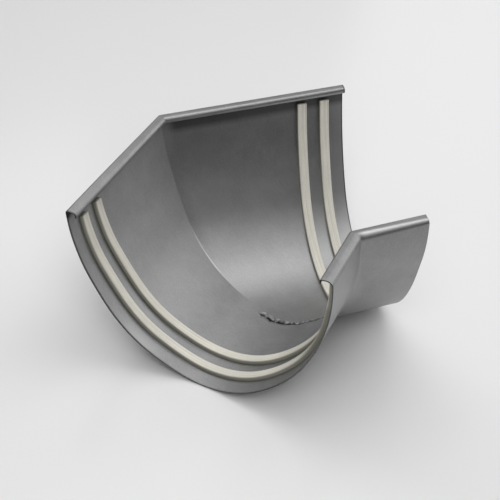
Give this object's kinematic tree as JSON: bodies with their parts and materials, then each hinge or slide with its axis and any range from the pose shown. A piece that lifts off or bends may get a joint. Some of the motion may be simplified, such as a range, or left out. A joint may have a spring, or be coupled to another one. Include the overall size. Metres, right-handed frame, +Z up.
{
  "type": "gutter angle",
  "caption": "Inside corner piece for half-round roof gutters, bent sheet steel with folded rims and rubber sealing strips.",
  "frame": {"origin": "centre of the outline in plan, at the level of the round bottoms", "axes": "+X across the corner from the left leg to the right leg, +Y from the short rim to the long rim, +Z up"},
  "size_m": [0.2256, 0.192, 0.1031],
  "materials": {
    "coated_steel": "satin metallic coating",
    "seal_rubber": "matte"
  },
  "bodies": {
    "root": {"angle_body": "coated_steel", "left_end_seal": "seal_rubber", "left_inner_seal": "seal_rubber", "right_end_seal": "seal_rubber", "right_inner_seal": "seal_rubber"}
  },
  "joints": []
}
